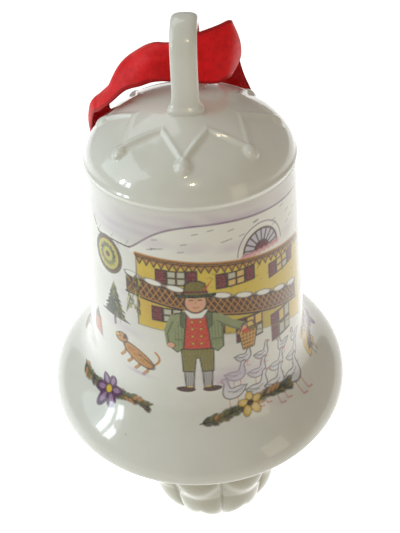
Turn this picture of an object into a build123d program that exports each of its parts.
from build123d import *
from math import atan, cos, degrees, exp, pi, radians, sin, sqrt
import os

# Porcelain bell ornament, millimetres. +Z is up along the bell's axis and -Y is its front.
# The origin is where the bell hangs: the middle of the underside of the loop's top.

# hanging loop
LOOP_WIDTH = 4.8  # strap, along X
LOOP_STRAP = 2.3  # thickness of the strap
LOOP_INNER_HALF = 3.5  # half the opening, along Y
LOOP_GAP = 12.0  # crown's top to the strap's underside
LOOP_FOOT_FLARE = 1.2  # how far each foot spreads where it joins the crown
LOOP_FOOT_DEPTH = 1.6  # how far the foot's blank runs into the crown before it is cut to fit
LOOP_ROUND = 0.9  # rounding of the strap's long edges

# bell body
CROWN_HEIGHT = 10.4  # shoulder to the crown's top
CROWN_RADIUS = 19.8
CROWN_POWER = 1.765  # 2 would make the crown's outline an ellipse
BODY_HEIGHT = 58.7  # lip to shoulder
WAIST_RADIUS = 26.0  # the straight taper of the body, carried down to the lip
FLARE = 9.0  # how far the lip spreads past that taper
FLARE_HEIGHT = 8.1
FLARE_POWER = 2.43
WALL = 2.6
CROWN_WALL = 3.0
SHOULDER_BEAD = 0.6  # radius of the half-round bead on the shoulder

# low relief on the crown
LAPPETS = 8
LAPPET_RISE = 0.45
LAPPET_ROOT = 9.0  # radius of the hollows between the lappets
LAPPET_TIP = 15.0
LAPPET_WAIST = 0.78  # how narrow a lappet is halfway down, as a share of a straight-sided one
BEAD_RADIUS = 1.15
BEAD_PLACE = 15.9  # radius at which the beads sit

# clapper's hanging inside the crown
SWING_TURN = 11.0  # the clapper's swing plane is turned this far from -Y towards +X
PLUG_RADIUS = 7.0
PLUG_DEPTH = 3.4  # plug's face below the inside of the crown
EYE_WIRE = 1.2  # diameter
EYE_SPAN = 5.6  # between the two legs of the eye
EYE_BEND = 1.7
EYE_DROP = 3.5  # plug's face to the middle of the eye's bar
EYE_ROOT = 2.2  # how far its legs run into the plug
RING_WIRE = 1.0
RING_RADIUS = 2.8  # to the middle of the wire
HANGER_WIRE = 1.0
HANGER_EYE_RADIUS = 2.0
HOOK_GAP = 0.1  # free play where one wire hangs in another

# clapper
TIP_BELOW_LIP = 33.9  # how far the clapper's tip would reach below the lip, hanging plumb
REST_CLEARANCE = 0.806  # between the leaning clapper's flank and the lip, at the lip's height
CLAPPER_LENGTH = 39.7
CLAPPER_RADIUS = 16.5
CLAPPER_SHOULDER = 1.2  # how much longer the whole curve is than the piece cut from it
CLAPPER_LIFT = 1.22  # over 1 puts the widest place above the middle
CLAPPER_FULLNESS = 0.6  # under 1 blunts the tip and fills the flanks
CLAPPER_SHARES = (0, 0.02, 0.06, 0.13, 0.24, 0.38, 0.55, 0.72, 0.86)  # where the curve is fixed
CLAPPER_WALL = 2.4
CAP_HOLE = 2.6  # radius of the hole in the clapper's top
CAP_DEPTH = 4.0
HANGER_ROOT = 3.2  # how far the hanger runs into the clapper's cap

# ribbon
RIBBON_THICK = 0.3

# heights worked out from the sizes above
CROWN_TOP = -LOOP_GAP
SHOULDER = CROWN_TOP - CROWN_HEIGHT
LIP = SHOULDER - BODY_HEIGHT
PLUG_FACE = CROWN_TOP - CROWN_WALL - PLUG_DEPTH
BAR = PLUG_FACE - EYE_DROP
RING_CENTRE = BAR + (EYE_WIRE + RING_WIRE) / 2 + HOOK_GAP - RING_RADIUS
HINGE = RING_CENTRE - RING_RADIUS
HANG_LENGTH = HINGE - LIP + TIP_BELOW_LIP  # hinge to the clapper's tip
LEAN_REACH = WAIST_RADIUS + FLARE - WALL - CLAPPER_RADIUS - REST_CLEARANCE
REST_SWING = degrees(atan(LEAN_REACH / (HINGE - LIP)))  # from plumb, where the clapper leans by the lip


def crown_height(radius, spread=CROWN_RADIUS, height=CROWN_HEIGHT):
    """Height of the crown above the shoulder: a rounder or squarer ellipse."""
    share = min(radius / spread, 1)
    return height * (1 - share**CROWN_POWER) ** (1 / CROWN_POWER)


def body_radius(height):
    """Outer radius at a height above the lip: a straight taper and a bell-shaped flare."""
    taper = (WAIST_RADIUS - CROWN_RADIUS) * height / BODY_HEIGHT
    return WAIST_RADIUS - taper + FLARE * exp(-((height / FLARE_HEIGHT) ** FLARE_POWER))


def inner_point(height, step=0.01):
    """The point one wall inside the outer surface, square to it."""
    slope = (body_radius(height + step) - body_radius(max(height - step, 0))) / (
        height + step - max(height - step, 0)
    )
    reach = sqrt(1 + slope**2)
    return (body_radius(height) - WALL / reach, LIP + height + WALL * slope / reach)


# outline of the bell: stations close together in the flare and far apart in the taper
lower_stations = [FLARE_HEIGHT * share for share in (0, 0.25, 0.5, 0.75, 1, 1.3, 1.7, 2.3)]
upper_stations = [BODY_HEIGHT * share for share in (0.45, 0.62, 0.8, 1)]
stations = lower_stations + upper_stations
crown_turns = [90 * step / 8 for step in range(9)]


def crown_curve(spread, height):
    """Points on a crown outline, from the shoulder to the axis."""
    power = 2 / CROWN_POWER
    return [
        (spread * cos(radians(a)) ** power if a < 90 else 0, SHOULDER + height * sin(radians(a)) ** power)
        for a in crown_turns
    ]


outer_body = [(body_radius(h), LIP + h) for h in stations]
inner_body = [inner_point(h) for h in stations]
outer_crown = crown_curve(CROWN_RADIUS, CROWN_HEIGHT)
inner_crown = crown_curve(inner_body[-1][0], CROWN_HEIGHT - CROWN_WALL)
lip_centre = (body_radius(0) + inner_body[0][0]) / 2

# raised lappets: a thin band over the crown, cut to a star with hollowed sides
with BuildPart() as lappets:
    with BuildSketch(Plane.XZ):
        with BuildLine():
            top = Spline(*crown_curve(CROWN_RADIUS + LAPPET_RISE, CROWN_HEIGHT + LAPPET_RISE))
            low = Spline(*crown_curve(CROWN_RADIUS - CROWN_WALL / 2, CROWN_HEIGHT - CROWN_WALL / 2))
            Line(top @ 0, low @ 0)
            Line(top @ 1, low @ 1)
        make_face()
    revolve(axis=Axis.Z)
    with BuildSketch(Plane.XY.offset(SHOULDER)):
        with BuildLine():
            for count in range(LAPPETS):
                middle = 360 * count / LAPPETS - 90
                half = 180 / LAPPETS
                tip = Vector(LAPPET_TIP, 0).rotate(Axis.Z, middle)
                for side in (-1, 1):
                    root = Vector(LAPPET_ROOT, 0).rotate(Axis.Z, middle + side * half)
                    between = (root + tip) / 2
                    along = Vector(1, 0).rotate(Axis.Z, middle)
                    centred = along * between.dot(along)
                    ThreePointArc(root, centred + (between - centred) * LAPPET_WAIST, tip)
        make_face()
    extrude(amount=CROWN_HEIGHT + 2 * LAPPET_RISE, mode=Mode.INTERSECT)

with BuildPart() as bell_body:
    with BuildSketch(Plane.XZ):
        with BuildLine():
            outside = Spline(*outer_body)
            over = Spline(*outer_crown)
            Line(over @ 1, (0, inner_crown[-1][1]))
            under = Spline(*inner_crown)
            Line(under @ 0, inner_body[-1])
            inside = Spline(*inner_body)
            ThreePointArc(outside @ 0, (lip_centre, LIP - WALL / 2), inside @ 0)
        make_face()
    revolve(axis=Axis.Z)
    with BuildSketch(Plane.XZ):
        with Locations((CROWN_RADIUS - SHOULDER_BEAD * 0.25, SHOULDER)):
            Circle(SHOULDER_BEAD)
    revolve(axis=Axis.Z)
    add(lappets.part)
    with PolarLocations(BEAD_PLACE, LAPPETS, start_angle=-90):
        with Locations((0, 0, SHOULDER + crown_height(BEAD_PLACE) + BEAD_RADIUS * 0.15)):
            Sphere(BEAD_RADIUS)
bell_body.part.label = "bell_body"

# strap bent into an arch, its feet cut to the crown that they are stuck to
arch_centre = LOOP_STRAP - (LOOP_INNER_HALF + LOOP_STRAP)
foot = CROWN_TOP - LOOP_FOOT_DEPTH
with BuildPart() as hanging_loop:
    with BuildSketch(Plane.YZ):
        outer_half = LOOP_INNER_HALF + LOOP_STRAP
        with Locations((0, (arch_centre + foot) / 2)):
            Rectangle(2 * outer_half, arch_centre - foot)
        with Locations((0, arch_centre)):
            Circle(outer_half)
        with Locations((0, (arch_centre + foot) / 2)):
            Rectangle(2 * LOOP_INNER_HALF, arch_centre - foot, mode=Mode.SUBTRACT)
        with Locations((0, arch_centre)):
            Circle(LOOP_INNER_HALF, mode=Mode.SUBTRACT)
    extrude(amount=LOOP_WIDTH / 2, both=True)
    fillet(hanging_loop.edges().filter_by(Plane.YZ), LOOP_ROUND)
    for side in (-1, 1):
        with BuildSketch(Plane.XY.offset(foot)):
            with Locations((0, side * (LOOP_INNER_HALF + LOOP_STRAP / 2))):
                RectangleRounded(
                    LOOP_WIDTH + 2 * LOOP_FOOT_FLARE, LOOP_STRAP + 2 * LOOP_FOOT_FLARE, LOOP_STRAP / 2
                )
        with BuildSketch(Plane.XY.offset(CROWN_TOP + LOOP_FOOT_FLARE)):
            with Locations((0, side * (LOOP_INNER_HALF + LOOP_STRAP / 2))):
                RectangleRounded(LOOP_WIDTH, LOOP_STRAP, LOOP_ROUND)
        loft()
    add(bell_body.part, mode=Mode.SUBTRACT)
hanging_loop.part.label = "hanging_loop"

# directions of the clapper's swing
hinge_way = Vector(1, 0, 0).rotate(Axis.Z, SWING_TURN)
swing_way = Vector(0, 1, 0).rotate(Axis.Z, SWING_TURN)
hinge_point = Vector(0, 0, HINGE)
eye_plane = Plane(origin=(0, 0, BAR), x_dir=swing_way, z_dir=hinge_way)
ring_plane = Plane(origin=(0, 0, RING_CENTRE), x_dir=hinge_way, z_dir=swing_way)
leaning_way = swing_way.rotate(Axis((0, 0, 0), hinge_way), -REST_SWING)
hanging_plane = Plane(origin=hinge_point, x_dir=leaning_way, z_dir=hinge_way)

with BuildPart() as wire_eye:
    with BuildLine(eye_plane):
        leg_top = EYE_DROP + EYE_ROOT
        half_span = EYE_SPAN / 2
        bent = FilletPolyline(
            (-half_span, leg_top), (-half_span, 0), (half_span, 0), (half_span, leg_top), radius=EYE_BEND
        )
    with BuildSketch(Plane(origin=bent @ 0, z_dir=bent % 0)):
        Circle(EYE_WIRE / 2)
    sweep()
wire_eye.part.label = "wire_eye"

with BuildPart() as crown_plug:
    with BuildSketch(Plane.XZ):
        with BuildLine():
            Polyline(
                (0, PLUG_FACE), (PLUG_RADIUS * 0.8, PLUG_FACE), (PLUG_RADIUS, PLUG_FACE + 1),
                (PLUG_RADIUS, CROWN_TOP - CROWN_WALL / 2), (0, CROWN_TOP - CROWN_WALL / 2), close=True,
            )
        make_face()
    revolve(axis=Axis.Z)
    add(bell_body.part, mode=Mode.SUBTRACT)
    add(wire_eye.part, mode=Mode.SUBTRACT)
crown_plug.part.label = "crown_plug"

with BuildPart(ring_plane) as jump_ring:
    Torus(RING_RADIUS, RING_WIRE / 2)
jump_ring.part.label = "jump_ring"

# the clapper's own heights run up from its tip, on the line through the hinge
clapper_top = CLAPPER_LENGTH - HANG_LENGTH
tip = -HANG_LENGTH
eye_middle = (RING_WIRE + HANGER_WIRE) / 2 + HOOK_GAP - HANGER_EYE_RADIUS
eye_centre = hanging_plane.from_local_coords((0, eye_middle))
hanging_axis = Axis(hinge_point, hanging_plane.y_dir)

with BuildPart(Plane(origin=eye_centre, z_dir=hinge_way)) as clapper_hanger:
    Torus(HANGER_EYE_RADIUS, HANGER_WIRE / 2)
    stem_top = eye_middle - HANGER_EYE_RADIUS
    stem = stem_top - clapper_top + HANGER_ROOT
    with BuildSketch(Plane(origin=hanging_plane.from_local_coords((0, stem_top)), z_dir=-hanging_plane.y_dir)):
        Circle(HANGER_WIRE / 2)
    extrude(amount=stem)
clapper_hanger.part.label = "clapper_hanger"


def clapper_curve(inset):
    """Half outline from the tip up, one inset inside the skin: a sine, fullest above its middle."""
    blank = CLAPPER_LENGTH + CLAPPER_SHOULDER - 2 * inset
    rises = [blank * share for share in CLAPPER_SHARES]
    rises.append(CLAPPER_LENGTH - 2 * inset)
    return [
        ((CLAPPER_RADIUS - inset) * sin(pi * (rise / blank) ** CLAPPER_LIFT) ** CLAPPER_FULLNESS,
         tip + inset + rise)
        for rise in rises
    ]


with BuildPart() as clapper:
    with BuildSketch(hanging_plane):
        with BuildLine():
            skin = Spline(*clapper_curve(0))
            Polyline(skin @ 1, (0, clapper_top), skin @ 0)
        make_face()
    revolve(axis=hanging_axis)
    with BuildSketch(hanging_plane):
        with BuildLine():
            hollow = Spline(*clapper_curve(CLAPPER_WALL))
            Polyline(hollow @ 1, (0, clapper_top - CLAPPER_WALL), hollow @ 0)
        make_face()
    revolve(axis=hanging_axis, mode=Mode.SUBTRACT)
    hole_plane = Plane(origin=hanging_plane.from_local_coords((0, clapper_top)), z_dir=-hanging_plane.y_dir)
    with BuildSketch(hole_plane):
        Circle(CAP_HOLE)
    extrude(amount=CAP_DEPTH, mode=Mode.SUBTRACT)
clapper.part.label = "clapper"

with BuildPart() as clapper_cap:
    with BuildSketch(hole_plane):
        Circle(CAP_HOLE)
    extrude(amount=CAP_DEPTH)
    add(clapper_hanger.part, mode=Mode.SUBTRACT)
clapper_cap.part.label = "clapper_cap"


def in_loop(across, back, up):
    """A point in the loop's opening, as shares of its width, half gap and height."""
    return Vector(across * LOOP_WIDTH, back * LOOP_INNER_HALF, CROWN_TOP + up * LOOP_GAP)


def over_crown(across, back, lift):
    """A point above the crown: shares of its radius to the side and back, and a lift in mm."""
    radius = CROWN_RADIUS * sqrt(across**2 + back**2)
    return Vector(across * CROWN_RADIUS, back * CROWN_RADIUS, SHOULDER + crown_height(radius) + lift)


def beside_body(turn, drop, gap):
    """A point beside the body: degrees round from the front, mm below the shoulder, mm clear of it."""
    radius = body_radius(BODY_HEIGHT - drop) + gap
    return Vector(radius * sin(radians(turn)), -radius * cos(radians(turn)), SHOULDER - drop)


# the ribbon's lower and upper edges, from its left end, through the loop, to its right end
ribbon_edges = [
    (beside_body(-131, 23, 1.4), beside_body(-160, 18, 1.4)),
    (beside_body(-118, 12, 1.4), beside_body(-145, 7, 1.5)),
    (beside_body(-104, 3.5, 2.2), beside_body(-128, 0.2, 2.4)),
    (over_crown(-0.95, 0.07, 2.6), over_crown(-0.86, 0.5, 3.4)),
    (over_crown(-0.84, 0.03, 1.9), over_crown(-0.78, 0.49, 3.2)),
    (over_crown(-0.71, 0.0, 2.5), over_crown(-0.68, 0.47, 4.4)),
    (over_crown(-0.57, 0.015, 3.3), over_crown(-0.57, 0.44, 7.4)),
    (over_crown(-0.42, 0.0, 3.2), over_crown(-0.44, 0.38, 8.5)),
    (in_loop(-1.2, 0.1, 0.20), in_loop(-1.2, 1.3, 0.66)),
    (in_loop(-0.5, 0.34, 0.17), in_loop(-0.5, 0.8, 0.72)),
    (in_loop(0.5, 0.34, 0.14), in_loop(0.5, 0.66, 0.87)),
    (in_loop(1.2, 0.2, 0.15), in_loop(1.2, 0.8, 0.94)),
    (over_crown(0.42, 0.08, 3.4), over_crown(0.455, 0.17, 13.4)),
    (over_crown(0.45, 0.22, 3.2), over_crown(0.465, 0.33, 12.4)),
    (over_crown(0.42, 0.43, 2.6), over_crown(0.46, 0.55, 10.5)),
    (over_crown(0.34, 0.63, 1.9), over_crown(0.50, 0.74, 8.0)),
    (over_crown(0.25, 0.82, 1.8), over_crown(0.56, 0.80, 5.6)),
    (beside_body(170, 1.5, 1.8), beside_body(145, -0.5, 2.6)),
    (beside_body(171, 9.0, 1.3), beside_body(144, 7.5, 1.3)),
    (beside_body(170, 20.0, 1.3), beside_body(143, 17.0, 1.3)),
]

with BuildPart() as ribbon:
    for index, (low, high) in enumerate(ribbon_edges):
        before = sum(ribbon_edges[max(index - 1, 0)], Vector())
        after = sum(ribbon_edges[min(index + 1, len(ribbon_edges) - 1)], Vector())
        with BuildSketch(Plane(origin=(low + high) / 2, x_dir=high - low, z_dir=after - before)):
            Rectangle((high - low).length, RIBBON_THICK)
    loft(ruled=True)
ribbon.part.label = "ribbon"

os.makedirs("parts", exist_ok=True)
pieces = [bell_body, hanging_loop, crown_plug, wire_eye, jump_ring, clapper_hanger, clapper, clapper_cap]
for piece in pieces + [ribbon]:
    export_step(piece.part, f"parts/{piece.part.label}.step")
